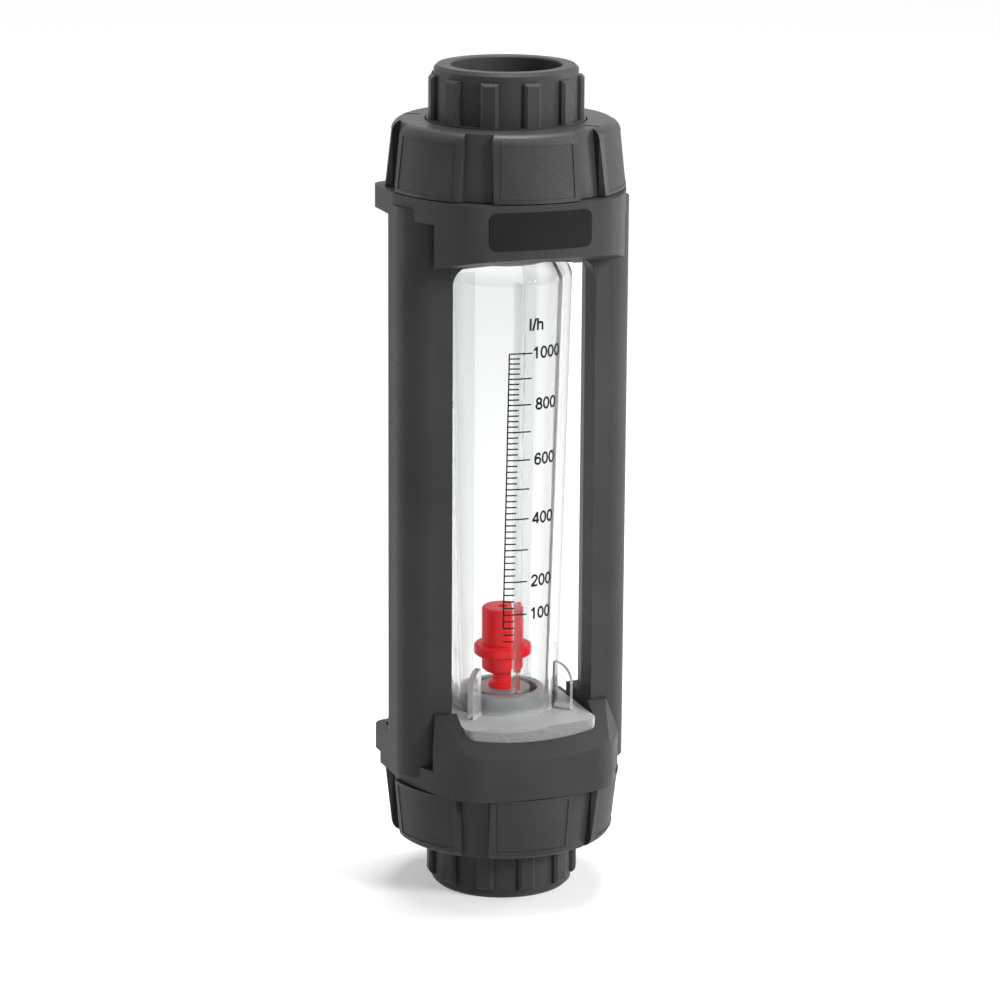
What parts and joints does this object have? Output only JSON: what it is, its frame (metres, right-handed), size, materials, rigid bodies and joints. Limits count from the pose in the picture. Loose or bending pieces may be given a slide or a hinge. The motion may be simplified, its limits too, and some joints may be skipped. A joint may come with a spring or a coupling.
{
  "type": "variable area flowmeter",
  "caption": "Upright variable area flowmeter: tapered clear tube with a float in a black moulded cage, union nuts and glued pipe sockets at both ends.",
  "frame": {"origin": "centre of the lower pipe socket's rim, on the flow axis", "axes": "+Z is the direction of flow, upwards; the scale and the label plate face -Y; +X is to the right of someone reading the scale"},
  "size_m": [0.071, 0.0701, 0.2462],
  "materials": {
    "cage_plastic": "fine moulded grain",
    "union_plastic": "fine moulded grain, coarser on the grip panels",
    "gloss_black": "glossy",
    "clear_plastic": "clear, polished",
    "float_red": "satin",
    "stop_grey": "satin",
    "seal_rubber": "matt"
  },
  "bodies": {
    "meter": {"front_cage": "cage_plastic", "lower_rear_half_ring": "cage_plastic", "upper_rear_half_ring": "cage_plastic", "label_plate": "gloss_black", "measuring_tube": "clear_plastic", "lower_float_stop": "stop_grey", "upper_float_stop": "stop_grey", "lower_union_end": "union_plastic", "upper_union_end": "union_plastic", "lower_o_ring": "seal_rubber", "upper_o_ring": "seal_rubber"},
    "float": {"flow_float": "float_red"},
    "lower_nut": {"lower_union_nut": "union_plastic"},
    "upper_nut": {"upper_union_nut": "union_plastic"}
  },
  "joints": [
    {"name": "float_rise", "type": "slide", "parent": "meter", "child": "float", "axis": [0, 0, 1], "range_m": [0, 0.104]},
    {"name": "lower_nut_turn", "type": "hinge", "parent": "meter", "child": "lower_nut", "pos_m": [0, 0, 0.0253], "axis": [0, 0, 1], "continuous": true},
    {"name": "upper_nut_turn", "type": "hinge", "parent": "meter", "child": "upper_nut", "pos_m": [0, 0, 0.2209], "axis": [0, 0, 1], "continuous": true}
  ]
}
